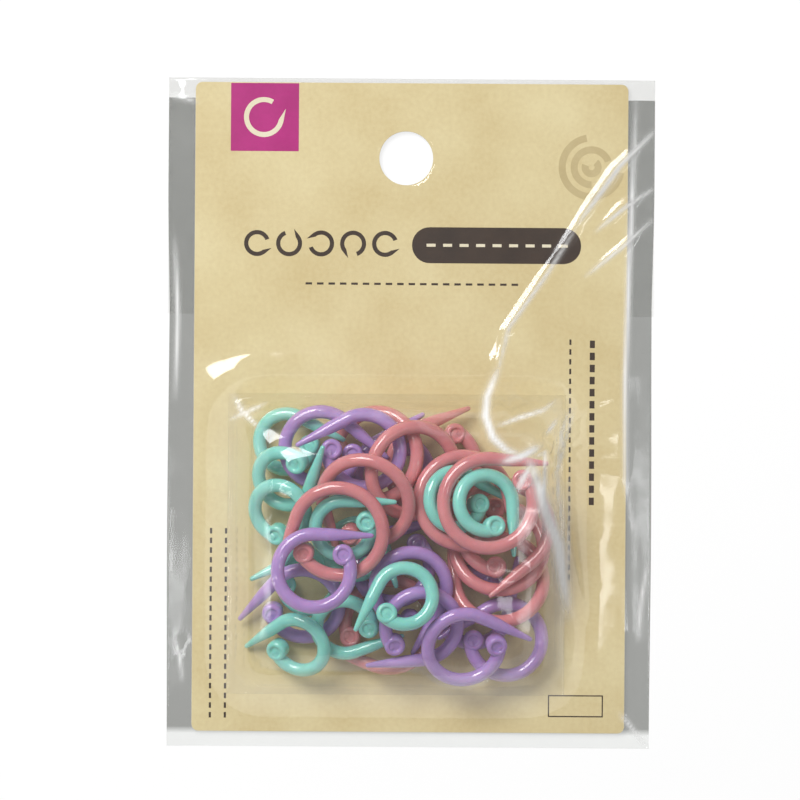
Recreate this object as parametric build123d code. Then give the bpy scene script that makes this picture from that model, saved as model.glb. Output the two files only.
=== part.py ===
from build123d import *
import os
from collections import namedtuple
from math import acos, atan, ceil, cos, degrees, hypot, pi, radians, sin

import numpy as np
from scipy.optimize import linprog
from scipy.sparse import coo_matrix

# A carded pack of ring-shaped stitch markers: open rings, each with a pointed tail that springs in
# behind a small disc. The rings lie loose in a sealed pouch, and the pouch lies on a card in a clear
# bag whose flap is turned over behind and stuck down.
# The pack lies on its back. X runs right, Y runs up towards the hang hole and Z comes out of its face.
# Lengths are in millimetres and angles in degrees.

os.makedirs("parts", exist_ok=True)

# The bag. Its back panel stops short of the top fold, which leaves the mouth open under the flap.
bag_width = 72.0
bag_height = 99.0
film = 0.08
bag_weld = 1.5
mouth_drop = 2.7
flap_length = 35.0

# The strip of adhesive on the flap
adhesive_width = 60.0
adhesive_height = 12.0
adhesive_thickness = 0.05
adhesive_inset = 3.0

# The card, and the room that the bag leaves it at the sides, the foot and the head
card_side_room = 4.0
card_rise = 2.3
card_head_room = 0.7
card_thickness = 0.4
card_corner_radius = 1.0

# The hang hole goes through both panels, the card and the flap
hole_diameter = 8.0
hole_drop = 11.1
hole_shift = -0.8

# The pouch, placed from the bottom edge and the middle of the card
pouch_width = 50.0
pouch_height = 44.5
pouch_weld = 1.2
pouch_rise = 5.5
pouch_shift = -1.9

# The bag's film stands off the pouch in a skirt as it comes down to the card
skirt_width = 5.0
bag_corner = 0.6

# The markers: one wire and one disc for all, and three sizes of ring
wire_diameter = 2.0
disc_diameter = 3.1
disc_thickness = 2.2
disc_chamfer = 0.4
disc_inset = 0.5
dish_diameter = 1.7
dish_depth = 0.3
gate_diameter = 0.8
gate_height = 0.15
mouth_gap = 0.6
tip_diameter = 0.7
Size = namedtuple("Size", "outer_diameter tail_length")
marker_sizes = {
    "small": Size(outer_diameter=10.2, tail_length=7.5),
    "medium": Size(outer_diameter=12.6, tail_length=8.2),
    "large": Size(outer_diameter=15.0, tail_length=7.9),
}

# Round sections and rings are made of flats. This is how far a ring's flats lie inside its circle.
wire_sides = 8
disc_sides = 12
dish_sides = 8
gate_sides = 6
ring_sag = 0.12

# Clearances: between flat pieces that lie on each other, between markers, between the heap and the
# film over it, and between the card or the pouch and the film at their sides
sheet_gap = 0.1
marker_gap = 0.12
heap_gap = 0.3
wall_gap = 0.5

# The tail keeps its thickness at first and then tapers: how far along, and how thick there
slim_along_share = 0.35
slim_share = 0.92

# The pouch stands up straight from its weld and has a sloping shoulder at the top
shoulder_width = 3.0
shoulder_drop = 3.0

# The balls that stand for a marker lie this far apart, as a share of the wire's radius. A marker leans
# by no more than the steepest slope, and the stack is loosened a little before it is pressed.
ball_step_share = 0.6
steepest_share = 0.38
loose_share = 1.12

# The press: how many steps, of which the first go by every second ball, how far a marker moves in
# one step, the pull back to where it was laid, and the cost of a wall that gives way
press_steps = 20
rough_steps = 14
press_reach = 0.3
stay_share = 0.01
give_cost_share = 20

# How far the press may push a marker aside and turn it, from where it was laid
aside = 1.4
askew = 9.0

# The heap from the lowest marker to the topmost: size, place as shares of the pouch's half width and
# half height from its middle, the way the tail points, and whether the marker lies on its face
heap_shares = (
    ("medium", -0.06, 0.41, 40, False),
    ("large", 0.17, 0.46, 27, False),
    ("medium", 0.40, -0.35, 80, True),
    ("large", -0.12, 0.53, 130, False),
    ("large", -0.04, -0.49, 160, False),
    ("medium", 0.00, -0.09, 20, False),
    ("small", -0.52, -0.25, 206, True),
    ("small", -0.65, 0.68, -32, False),
    ("medium", -0.42, 0.63, -48, False),
    ("medium", 0.60, -0.56, 212, True),
    ("large", 0.59, -0.18, 100, False),
    ("large", 0.60, -0.01, 60, False),
    ("medium", -0.16, 0.59, 204, True),
    ("small", -0.18, -0.02, -73, False),
    ("medium", 0.09, -0.22, 239, False),
    ("medium", -0.49, -0.39, 222, True),
    ("large", 0.04, 0.44, 300, False),
    ("large", 0.58, 0.13, 225, False),
    ("small", -0.66, 0.44, 68, True),
    ("small", 0.35, 0.31, -18, False),
    ("large", 0.35, 0.31, -80, False),
    ("large", -0.16, 0.28, 285, True),
    ("small", -0.68, 0.22, -121, False),
    ("small", -0.30, -0.54, 20, True),
    ("small", -0.27, 0.16, 0, False),
    ("small", -0.57, -0.66, 217, True),
    ("large", -0.28, 0.16, 252, True),
    ("small", 0.55, 0.25, -90, False),
    ("medium", 0.15, -0.47, 184, False),
    ("medium", -0.42, -0.17, -8, False),
    ("medium", 0.40, -0.67, -30, False),
    ("small", 0.05, -0.32, 242, True),
    ("large", 0.55, 0.25, -14, False),
)

# Heights, stacked up from the flap
wire_radius = wire_diameter / 2
disc_radius = disc_diameter / 2
tip_radius = tip_diameter / 2
flap_top = film
back_bottom = flap_top + adhesive_thickness
back_top = back_bottom + film
card_bottom = back_top + sheet_gap
card_top = card_bottom + card_thickness
pouch_bottom = card_top + sheet_gap
pouch_floor = pouch_bottom + film
front_level = card_top + sheet_gap

# Places in plan. The middle of the bag is at zero.
bag_top = bag_height / 2
bag_bottom = -bag_height / 2
card_width = bag_width - 2 * card_side_room
card_foot = bag_bottom + card_rise
card_head = bag_top - card_head_room
hole_height = card_head - hole_drop
pouch_middle = card_foot + pouch_rise + pouch_height / 2
flap_foot = bag_top - flap_length


def faceted(outlines):
    """A closed solid with flat faces through a row of outlines, with as many points in each."""
    faces = [Face(Wire.make_polygon(outlines[0])), Face(Wire.make_polygon(outlines[-1]))]
    for lower, upper in zip(outlines, outlines[1:]):
        for i in range(len(lower)):
            j = (i + 1) % len(lower)
            faces.append(Face(Wire.make_polygon([lower[i], lower[j], upper[j], upper[i]])))
    return Solid(Shell(faces))


def cut_corner_outline(left, right, bottom, top, cut, z):
    """A rectangle with its corners cut off at 45 degrees, as eight points at height z."""
    return [
        Vector(left + cut, bottom, z), Vector(right - cut, bottom, z),
        Vector(right, bottom + cut, z), Vector(right, top - cut, z),
        Vector(right - cut, top, z), Vector(left + cut, top, z),
        Vector(left, top - cut, z), Vector(left, bottom + cut, z),
    ]


def plate(width, bottom, top, z, thickness):
    """A flat sheet about the middle of the bag, from height z up."""
    middle = Pos(0, (bottom + top) / 2, z)
    return middle * Box(width, top - bottom, thickness, align=(Align.CENTER, Align.CENTER, Align.MIN))


def punched(shape):
    """The shape with the hang hole through it."""
    return shape - Pos(hole_shift, hole_height, 0) * Cylinder(hole_diameter / 2, bag_height)


# Markers. A marker lies flat with its ring about the origin. The tail leaves the ring at the top and
# points along +X, and the ring runs from there round the left to the disc.
def ring_radius(size):
    return (size.outer_diameter - wire_diameter) / 2


def disc_angle(size):
    """Where the disc sits, so that the tail passes it with the mouth's gap."""
    past = tail_radius(size, tail_reach(size)) + mouth_gap + disc_radius
    return 90 - degrees(acos((ring_radius(size) - past) / (ring_radius(size) - disc_inset)))


def tail_reach(size):
    """About how far along the tail the disc stands."""
    return ring_radius(size) * cos(radians(30))


def tail_radius(size, along):
    """The tail's radius at a distance along it."""
    share = min(along / size.tail_length, 1)
    slim_radius = wire_radius * slim_share
    if share < slim_along_share:
        return wire_radius + (slim_radius - wire_radius) * share / slim_along_share
    return slim_radius + (tip_radius - slim_radius) * (share - slim_along_share) / (1 - slim_along_share)


def wire_stations(size):
    """The wire's stations, from the disc round the ring to the tip: centre, side direction, radius."""
    radius = ring_radius(size)
    start = disc_angle(size) + 360
    chords = ceil(radians(start - 90) / (2 * acos(1 - ring_sag / radius)))
    stations = []
    for i in range(chords + 1):
        angle = radians(start + (90 - start) * i / chords)
        side = Vector(cos(angle), sin(angle), 0)
        stations.append((side * radius, side, wire_radius))
    for along in (slim_along_share * size.tail_length, size.tail_length):
        stations.append((Vector(along, radius, 0), Vector(0, 1, 0), tail_radius(size, along)))
    return stations


def marker(size):
    """One marker: the wire as a faceted tube, and the disc with a dish above and its gate below."""
    turns = [2 * pi * (i + 0.5) / wire_sides for i in range(wire_sides)]
    outlines = []
    for centre, side, radius in wire_stations(size):
        outlines.append([centre + side * radius * cos(t) + Vector(0, 0, radius * sin(t)) for t in turns])
    wire = faceted(outlines)

    disc = extrude(RegularPolygon(disc_radius, disc_sides), disc_thickness / 2, both=True)
    rims = disc.edges().group_by(Axis.Z)
    disc = chamfer(rims[0] + rims[-1], disc_chamfer)
    dish = extrude(RegularPolygon(dish_diameter / 2, dish_sides), dish_depth)
    disc -= Pos(0, 0, disc_thickness / 2 - dish_depth) * dish
    gate = extrude(RegularPolygon(gate_diameter / 2, gate_sides), gate_height)
    disc += Pos(0, 0, -disc_thickness / 2 - gate_height) * gate

    angle = radians(disc_angle(size))
    reach = ring_radius(size) - disc_inset
    return wire + Pos(reach * cos(angle), reach * sin(angle), 0) * disc


# The heap. Each marker is taken as balls that fill its skin. The markers are first stacked in their
# order, and the stack is then pressed down between the card and a flat lid that stays above it all.
# Both are linear programmes: what moves are the markers' middles and leans and the lid's height.
def balls(size):
    """Centres and radii of the balls that fill one flat marker."""
    stations = wire_stations(size)
    centres, radii = [], []
    for (start, _, first), (end, _, last) in zip(stations, stations[1:]):
        steps = ceil((end - start).length / (wire_radius * ball_step_share))
        for i in range(steps):
            share = i / steps
            centres.append(tuple(start + (end - start) * share))
            radii.append(first + (last - first) * share)
    centres.append(tuple(stations[-1][0]))
    radii.append(stations[-1][2])

    angle = radians(disc_angle(size))
    reach = ring_radius(size) - disc_inset
    half = disc_radius / 2
    ball = max(hypot(disc_radius - disc_chamfer - half, disc_thickness / 2),
               hypot(disc_radius - half, disc_thickness / 2 - disc_chamfer),
               hypot(half - gate_diameter / 2, disc_thickness / 2 + gate_height))
    for i in range(wire_sides):
        turn = 2 * pi * i / wire_sides
        centres.append((reach * cos(angle) + half * cos(turn), reach * sin(angle) + half * sin(turn), 0))
        radii.append(ball)
    return np.array(centres), np.array(radii)


def turned(axis, angle):
    """The rotation matrix for an angle in degrees about an axis."""
    location = Location((0, 0, 0), axis, angle)
    plane = Plane(location)
    return np.array([tuple(plane.x_dir), tuple(plane.y_dir), tuple(plane.z_dir)]).T


class Programme:
    """Rows of the form: the sum of value times variable is at most limit."""

    def __init__(self):
        self.entries, self.limits, self.count = [], [], 0

    def add(self, terms, limits):
        rows = np.arange(self.count, self.count + len(limits))
        for column, values in terms:
            self.entries.append((rows, np.full(len(rows), column), values * np.ones(len(rows))))
        self.limits.append(limits)
        self.count += len(rows)

    def solve(self, costs, bounds):
        rows, columns, values = (np.concatenate(part) for part in zip(*self.entries))
        matrix = coo_matrix((values, (rows, columns)), shape=(self.count, len(costs)))
        answer = linprog(costs, A_ub=matrix.tocsr(), b_ub=np.concatenate(self.limits), bounds=bounds)
        return answer.x


def lay():
    """The markers flat in their places: size names, middles, rotations, and flat balls."""
    names, middles, rotations, flats, radii = [], [], [], [], []
    for name, across, up, turn, on_face in heap_shares:
        centres, sizes = balls(marker_sizes[name])
        names.append(name)
        middles.append((pouch_shift + across * pouch_width / 2, pouch_middle + up * pouch_height / 2, 0))
        rotations.append(turned((0, 0, 1), turn) @ turned((1, 0, 0), 180 if on_face else 0))
        flats.append(centres)
        radii.append(sizes)
    return names, np.array(middles), rotations, flats, radii


def stack(middles, rotations, flats, radii):
    """Height and slopes of each marker, so that it lies over all that were laid before it."""
    programme = Programme()
    count = len(flats)
    arms = [flat @ rotation.T for flat, rotation in zip(flats, rotations)]
    for k in range(count):
        x, y = arms[k][:, 0], arms[k][:, 1]
        programme.add([(3 * k, -1), (3 * k + 1, -x), (3 * k + 2, -y)], -pouch_floor - sheet_gap - radii[k])
        programme.add([(3 * k, 1), (3 * k + 1, x), (3 * k + 2, y), (3 * count, -1)], -radii[k])
        for m in range(k):
            across = arms[k][:, None, :2] + middles[k, :2] - arms[m][None, :, :2] - middles[m, :2]
            clear = radii[k][:, None] + radii[m][None, :] + marker_gap
            apart = np.hypot(across[..., 0], across[..., 1])
            i, j = np.nonzero(apart < clear)
            rise = np.sqrt(clear[i, j] ** 2 - apart[i, j] ** 2)
            programme.add([(3 * k, -1), (3 * k + 1, -x[i]), (3 * k + 2, -y[i]),
                           (3 * m, 1), (3 * m + 1, arms[m][j, 0]), (3 * m + 2, arms[m][j, 1])], -rise)
    costs = np.zeros(3 * count + 1)
    costs[0:3 * count:3] = 1 / count
    costs[-1] = 1
    bounds = [(0, None), (-steepest_share, steepest_share), (-steepest_share, steepest_share)] * count
    return programme.solve(costs, bounds + [(0, None)])[:-1].reshape(count, 3)


def add_contacts(programme, a, b, places, middles, radii):
    """Two markers' balls that are near each other stay clear along the line between them.

    Where they still overlap, they are parted a little at a time.
    """
    between = places[a][:, None] - places[b][None]
    apart = np.linalg.norm(between, axis=2)
    clear = radii[a][:, None] + radii[b][None] + marker_gap
    i, j = np.nonzero(apart < clear + wire_radius)
    if not len(i):
        return
    along = between[i, j] / apart[i, j][:, None]
    turn_a = np.cross(places[a][i] - middles[a], along)
    turn_b = np.cross(places[b][j] - middles[b], along)
    terms = []
    for axis in range(3):
        terms += [(6 * a + axis, -along[:, axis]), (6 * a + 3 + axis, -turn_a[:, axis]),
                  (6 * b + axis, along[:, axis]), (6 * b + 3 + axis, turn_b[:, axis])]
    programme.add(terms, np.maximum((apart - clear)[i, j], -press_reach))


def add_pouch_walls(programme, k, lid, places, middles, radii):
    """One marker's balls stay over the floor, within the walls and under the lid and its shoulders.

    Walls that are too near for the markers give way, as film does, at a high cost.
    """
    arm = places[k] - middles[k]
    move_x = [(6 * k, 1), (6 * k + 4, arm[:, 2]), (6 * k + 5, -arm[:, 1])]
    move_y = [(6 * k + 1, 1), (6 * k + 5, arm[:, 0]), (6 * k + 3, -arm[:, 2])]
    move_z = [(6 * k + 2, 1), (6 * k + 3, arm[:, 1]), (6 * k + 4, -arm[:, 0])]

    def scaled(terms, factor):
        return [(column, factor * values) for column, values in terms]

    give = [(lid + 1, -1)]

    height = places[k][:, 2]
    programme.add(scaled(move_z, -1), height - radii[k] - pouch_floor - sheet_gap)
    programme.add(move_z + [(lid, -1)], -height - radii[k])
    slope = shoulder_drop / shoulder_width
    for move, side, middle, half in (
            (move_x, places[k][:, 0], pouch_shift, pouch_width / 2 - pouch_weld - wall_gap),
            (move_y, places[k][:, 1], pouch_middle, pouch_height / 2 - pouch_weld - wall_gap)):
        for sign in (1, -1):
            room = half - radii[k] - sign * (side - middle)
            programme.add(scaled(move, sign) + give, room)
            programme.add(scaled(move, sign * slope) + move_z + give + [(lid, -1)],
                          slope * room - height - radii[k] - shoulder_drop)


def add_stay(programme, k, lid, off, turned_by, upright):
    """One marker is drawn back to where it was laid, and leans no further than the steepest slope."""
    shift = lid + 2 + 3 * k
    reach = ring_radius(marker_sizes["large"])
    for sign in (1, -1):
        for axis in range(2):
            programme.add([(6 * k + axis, sign), (shift + axis, -1)], sign * off[axis:axis + 1])
        programme.add([(6 * k + 5, sign * reach), (shift + 2, -1)], np.array([-sign * reach * turned_by]))
        programme.add([(6 * k + 4, sign * upright[2]), (6 * k + 5, -sign * upright[1])],
                      np.array([steepest_share - sign * upright[0]]))
        programme.add([(6 * k + 5, sign * upright[0]), (6 * k + 3, -sign * upright[2])],
                      np.array([steepest_share - sign * upright[1]]))


def step_bounds(off, turned_by):
    """How far one marker may move and turn in one step."""
    twist = press_reach / wire_diameter / 2
    aside_room = [tuple(np.clip((room - aside, room + aside), -press_reach, press_reach)) for room in off]
    room = (-radians(askew) - turned_by, radians(askew) - turned_by)
    return aside_room + [(-2 * press_reach, 2 * press_reach), (-twist, twist), (-twist, twist),
                         tuple(np.clip(room, -twist, twist))]


def press(middles, rotations, flats, radii):
    """Press the stack down, step by step. Each step is small and keeps every marker clear."""
    count = len(flats)
    lid = 6 * count
    start = middles.copy()
    turned_by = np.zeros(count)
    costs = np.zeros(lid + 2 + 3 * count)
    costs[2:lid:6] = 1 / (2 * count)
    costs[lid] = 1
    costs[lid + 1] = give_cost_share
    costs[lid + 2:] = stay_share
    for step in range(press_steps):
        every = 2 if step < rough_steps else 1
        places = [(flat @ rotation.T + middle)[::every]
                  for flat, rotation, middle in zip(flats, rotations, middles)]
        sizes = [radius[::every] for radius in radii]
        programme = Programme()
        bounds = []
        for k in range(count):
            off = start[k, :2] - middles[k, :2]
            add_pouch_walls(programme, k, lid, places, middles, sizes)
            add_stay(programme, k, lid, off, turned_by[k], rotations[k][:, 2])
            bounds += step_bounds(off, turned_by[k])
            for m in range(k):
                add_contacts(programme, k, m, places, middles, sizes)
        moves = programme.solve(costs, bounds + [(0, None)] * (3 * count + 2))
        for k in range(count):
            move = moves[6 * k:6 * k + 6]
            middles[k] += move[:3]
            turned_by[k] += move[5]
            angle = np.linalg.norm(move[3:])
            if angle:
                rotations[k] = turned(tuple(move[3:]), degrees(angle)) @ rotations[k]
    return moves[lid]


def settle():
    """The heap at rest: size names, places, balls and their radii, and the lid's height."""
    names, middles, rotations, flats, radii = lay()
    stacked = stack(middles, rotations, flats, radii)
    for k, (height, slope_x, slope_y) in enumerate(stacked):
        middles[k, 2] = pouch_floor + (height - pouch_floor) * loose_share
        axis = (slope_y, -slope_x, 0)
        if slope_x or slope_y:
            rotations[k] = turned(axis, degrees(atan(hypot(slope_x, slope_y)))) @ rotations[k]
    lid = press(middles, rotations, flats, radii)
    places = [flat @ rotation.T + middle for flat, rotation, middle in zip(flats, rotations, middles)]
    return names, middles, rotations, places, radii, lid


def least_gap(places, radii):
    """The least gap between the skins of two markers, as measured on their balls."""
    gaps = []
    for k in range(len(places)):
        for m in range(k):
            apart = np.linalg.norm(places[k][:, None] - places[m][None], axis=2)
            gaps.append((apart - radii[k][:, None] - radii[m][None]).min())
    return min(gaps)


# The pouch
def pillow_outlines(crown, out, up, cut):
    """Outlines of the pouch's pillow, with its sides taken out and its top taken up."""
    outlines = []
    for inset, height in ((0, 0), (0, crown - shoulder_drop + up), (shoulder_width, crown + up)):
        half_width = pouch_width / 2 - pouch_weld - inset + out
        half_height = pouch_height / 2 - pouch_weld - inset + out
        outlines.append(cut_corner_outline(
            pouch_shift - half_width, pouch_shift + half_width,
            pouch_middle - half_height, pouch_middle + half_height, cut, pouch_floor + height))
    return outlines


def pouch_flange():
    half_width = pouch_width / 2
    half_height = pouch_height / 2
    lower, upper = (
        cut_corner_outline(pouch_shift - half_width, pouch_shift + half_width,
                           pouch_middle - half_height, pouch_middle + half_height, film, z)
        for z in (pouch_floor, pouch_floor + film))
    return faceted([lower, upper])


def make_pouch(crown):
    outer = faceted(pillow_outlines(crown, film, film, film))
    inner = faceted(pillow_outlines(crown, 0, 0, film))
    front = pouch_flange() + outer - inner
    back = Pos(pouch_shift, pouch_middle, pouch_bottom) * Box(
        pouch_width, pouch_height, film, align=(Align.CENTER, Align.CENTER, Align.MIN))
    return front, back


# The bag
def bag_space(crown, out):
    """The room inside the bag's front film, or with out the film's outside."""
    half_bag = bag_width / 2 - bag_weld + out
    half_card = card_width / 2 + wall_gap + out
    top = bag_top - film + out
    foot = bag_bottom + bag_weld - out
    card_edge = card_foot - wall_gap - out
    tray = faceted([
        [Vector(-half_bag, foot, back_top), Vector(half_bag, foot, back_top),
         Vector(half_bag, top, back_top), Vector(-half_bag, top, back_top)],
        [Vector(-half_card, card_edge, front_level + out), Vector(half_card, card_edge, front_level + out),
         Vector(half_card, top, front_level + out), Vector(-half_card, top, front_level + out)],
    ])
    spread = film + wall_gap + out
    lift = film + heap_gap + out
    skirt = [cut_corner_outline(
        pouch_shift - pouch_width / 2 - skirt_width - out, pouch_shift + pouch_width / 2 + skirt_width + out,
        pouch_middle - pouch_height / 2 - skirt_width - out, pouch_middle + pouch_height / 2 + skirt_width + out,
        bag_corner, z) for z in (card_bottom, front_level + out)]
    rim = cut_corner_outline(
        pouch_shift - pouch_width / 2 - spread, pouch_shift + pouch_width / 2 + spread,
        pouch_middle - pouch_height / 2 - spread, pouch_middle + pouch_height / 2 + spread,
        bag_corner, pouch_floor + film + lift)
    bulge = faceted(skirt + [rim] + pillow_outlines(crown, spread, lift, bag_corner)[1:])
    return tray + bulge


def make_bag(crown):
    weld = plate(bag_width, bag_bottom, bag_top, back_top, film)
    fold = plate(bag_width, bag_top - film, bag_top, flap_top, back_top + film - flap_top)
    front = weld + fold + bag_space(crown, film) - bag_space(crown, 0)
    back = plate(bag_width, bag_bottom, bag_top - mouth_drop, back_bottom, film)
    return punched(front), punched(back)


def make_flap():
    flap = plate(bag_width, flap_foot, bag_top, 0, film)
    strip_foot = flap_foot + adhesive_inset
    strip = plate(adhesive_width, strip_foot, strip_foot + adhesive_height, flap_top, adhesive_thickness)
    return punched(flap), punched(strip)


def make_card():
    card = plate(card_width, card_foot, card_head, card_bottom, card_thickness)
    card = fillet(card.edges().filter_by(Axis.Z), card_corner_radius)
    return punched(card)


def main():
    names, middles, rotations, places, radii, lid = settle()
    crown = lid + heap_gap - pouch_floor
    print(f"heap {lid - pouch_floor:.2f} mm high, least gap between markers {least_gap(places, radii):.3f} mm")

    nodes = {}
    nodes["backing_card"] = make_card()
    nodes["bag_flap"], nodes["flap_adhesive"] = make_flap()
    nodes["bag_front"], nodes["bag_back"] = make_bag(crown)
    nodes["pouch_front"], nodes["pouch_back"] = make_pouch(crown)

    shapes = {name: marker(size) for name, size in marker_sizes.items()}
    counts = dict.fromkeys(marker_sizes, 0)
    for name, middle, rotation in zip(names, middles, rotations):
        counts[name] += 1
        place = Plane(origin=tuple(middle), x_dir=tuple(rotation[:, 0]), z_dir=tuple(rotation[:, 2]))
        nodes[f"marker_{name}_{counts[name]:02d}"] = place.location * shapes[name]

    for node, shape in nodes.items():
        export_step(shape, f"parts/{node}.step")


main()
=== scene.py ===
# %% [markdown]
# # Stitch markers in their hanging pack
#
# The real thing is a clear bag with a card in it. In front of the card lies a sealed pouch of loose plastic
# rings, each with a disc at one end and a pointed tail at the other. The CAD model holds every piece at its
# real size, and this script gives the pieces their looks: round glossy rings, a printed card and crinkled
# film. All lengths are in metres, in the CAD model's own frame, so nothing has to be fitted afterwards.

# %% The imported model
import math
from itertools import product

import bmesh
import bpy
import numpy as np
from mathutils import Matrix, Vector
from mathutils.bvhtree import BVHTree


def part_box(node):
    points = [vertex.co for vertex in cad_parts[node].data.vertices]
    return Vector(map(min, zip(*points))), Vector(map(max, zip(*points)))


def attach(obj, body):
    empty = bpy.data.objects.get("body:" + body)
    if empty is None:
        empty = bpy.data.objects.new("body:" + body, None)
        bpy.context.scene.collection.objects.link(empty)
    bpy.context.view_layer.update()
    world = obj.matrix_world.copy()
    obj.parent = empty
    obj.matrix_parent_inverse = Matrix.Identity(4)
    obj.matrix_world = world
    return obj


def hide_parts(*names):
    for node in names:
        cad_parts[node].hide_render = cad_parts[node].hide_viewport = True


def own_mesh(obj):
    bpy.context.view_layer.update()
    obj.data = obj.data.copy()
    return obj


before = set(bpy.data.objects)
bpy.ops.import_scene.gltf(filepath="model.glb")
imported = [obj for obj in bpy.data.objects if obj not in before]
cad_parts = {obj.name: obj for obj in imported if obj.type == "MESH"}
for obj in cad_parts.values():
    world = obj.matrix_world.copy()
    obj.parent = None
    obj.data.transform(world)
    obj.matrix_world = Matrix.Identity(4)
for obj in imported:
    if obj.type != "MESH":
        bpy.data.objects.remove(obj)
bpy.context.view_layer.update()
mm = 0.001

# %% [markdown]
# ## From the photograph to the pack
#
# The photograph looks straight down on the pack. One of its pixels covers 0.148 mm, because the hang hole
# is 8 mm wide and spans 54 pixels. A place that was read off the photograph is written in pixels, and this
# helper turns it into metres.

# %% Pixels to metres
pixel = 0.148 * mm
pixel_of_middle = (410, 413)
photo_centre = (400, 400)
photo_width = 800


def seen_at(column, row):
    """The point in the plane of the card that the photograph shows at a pixel."""
    return Vector(((column - pixel_of_middle[0]) * pixel, (pixel_of_middle[1] - row) * pixel))


# %% [markdown]
# ## Helpers for node trees
#
# Materials and Geometry Nodes are both trees of nodes. One helper adds a node, sets its options and fills
# its sockets, either with a plain value or with a link from another node. Colours are easier to pick as a
# screen shows them, so a second helper turns those into the linear values that a shader works in.

# %% Node and colour helpers
def put(tree, kind, inputs=None, **options):
    """Adds a node to a tree. An input is a plain value or the output socket of another node."""
    node = tree.nodes.new(kind)
    for name, value in options.items():
        setattr(node, name, value)
    for key, value in (inputs or {}).items():
        socket = node.inputs[key]
        if isinstance(value, bpy.types.NodeSocket):
            tree.links.new(value, socket)
        else:
            socket.default_value = value
    return node


def calculate(tree, operation, first, second=0.0, third=0.0):
    """The result of one Math node."""
    node = put(tree, "ShaderNodeMath", {0: first, 1: second, 2: third}, operation=operation)
    return node.outputs[0]


def colour(red, green, blue):
    """A colour from screen values of 0 to 255."""
    shares = (value / 255 for value in (red, green, blue))
    return tuple(((s + 0.055) / 1.055) ** 2.4 if s > 0.04 else s / 12.92 for s in shares) + (1.0,)


def new_material(name):
    material = bpy.data.materials.new(name)
    material.use_nodes = True
    material.node_tree.nodes.clear()
    return material


# %% [markdown]
# ## Two effects that several finishes share
#
# Paper, moulded plastic and film are never quite even. "mottle" mixes a broad and a fine noise and gives a
# shade from 0 to 1 and a height. "scuffs" gives the roughness of a surface that has been handled: smooth,
# with slightly duller patches. Each is a node group, so every material that uses it sets its own scale.

# %% Shared node groups
def shader_group(name, inputs, outputs):
    """An empty shader node group with number inputs and the outputs named."""
    group = bpy.data.node_groups.new(name, "ShaderNodeTree")
    for label, value in inputs.items():
        socket = group.interface.new_socket(label, in_out="INPUT", socket_type="NodeSocketFloat")
        socket.default_value = value
    for label in outputs:
        group.interface.new_socket(label, in_out="OUTPUT", socket_type="NodeSocketFloat")
    return group, put(group, "NodeGroupInput").outputs, put(group, "NodeGroupOutput").inputs


def object_noise(tree, scale, detail):
    """Noise that is fixed to the piece, as a value around a half."""
    place = put(tree, "ShaderNodeTexCoord").outputs["Object"]
    noise = put(tree, "ShaderNodeTexNoise", {"Vector": place, "Scale": scale, "Detail": detail})
    return noise.outputs["Fac"]


def make_mottle():
    group, given, result = shader_group(
        "mottle", {"Broad": 60.0, "Fine": 600.0, "Fine share": 0.3}, ("Shade", "Height"))
    broad = object_noise(group, given["Broad"], 4.0)
    fine = object_noise(group, given["Fine"], 3.0)
    part = calculate(group, "SUBTRACT", fine, 0.5)
    mixed = calculate(group, "MULTIPLY_ADD", part, given["Fine share"], broad)
    spread = put(group, "ShaderNodeMapRange", {0: mixed, 1: 0.3, 2: 0.7, 3: 0.0, 4: 1.0})
    group.links.new(spread.outputs[0], result["Shade"])
    group.links.new(fine, result["Height"])
    return group


def make_scuffs():
    group, given, result = shader_group(
        "scuffs", {"Scale": 200.0, "Smooth": 0.15, "Dull": 0.35}, ("Roughness",))
    patch = object_noise(group, given["Scale"], 5.0)
    spread = put(group, "ShaderNodeMapRange",
                 {0: patch, 1: 0.4, 2: 0.75, 3: given["Smooth"], 4: given["Dull"]})
    group.links.new(spread.outputs[0], result["Roughness"])
    return group


mottle = make_mottle()
scuffs = make_scuffs()


def use_group(tree, group, **values):
    """The outputs of a shared group, placed in a material with its own values."""
    node = put(tree, "ShaderNodeGroup", node_tree=group)
    for label, value in values.items():
        node.inputs[label.replace("_", " ")].default_value = value
    return node.outputs


# %% [markdown]
# ## Moulded plastic
#
# The rings are glossy polypropylene in pastel colours, and a little light passes into them. The Principled
# shader does this with a low roughness and some subsurface. A faint flow mottle in the colour and a parting
# line where the mould closed keep it from looking like a flat swatch. The parting line follows the section
# of the wire, so it reads an attribute, girth, that the wire's mesh carries from 0 to 1 round the section.

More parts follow.
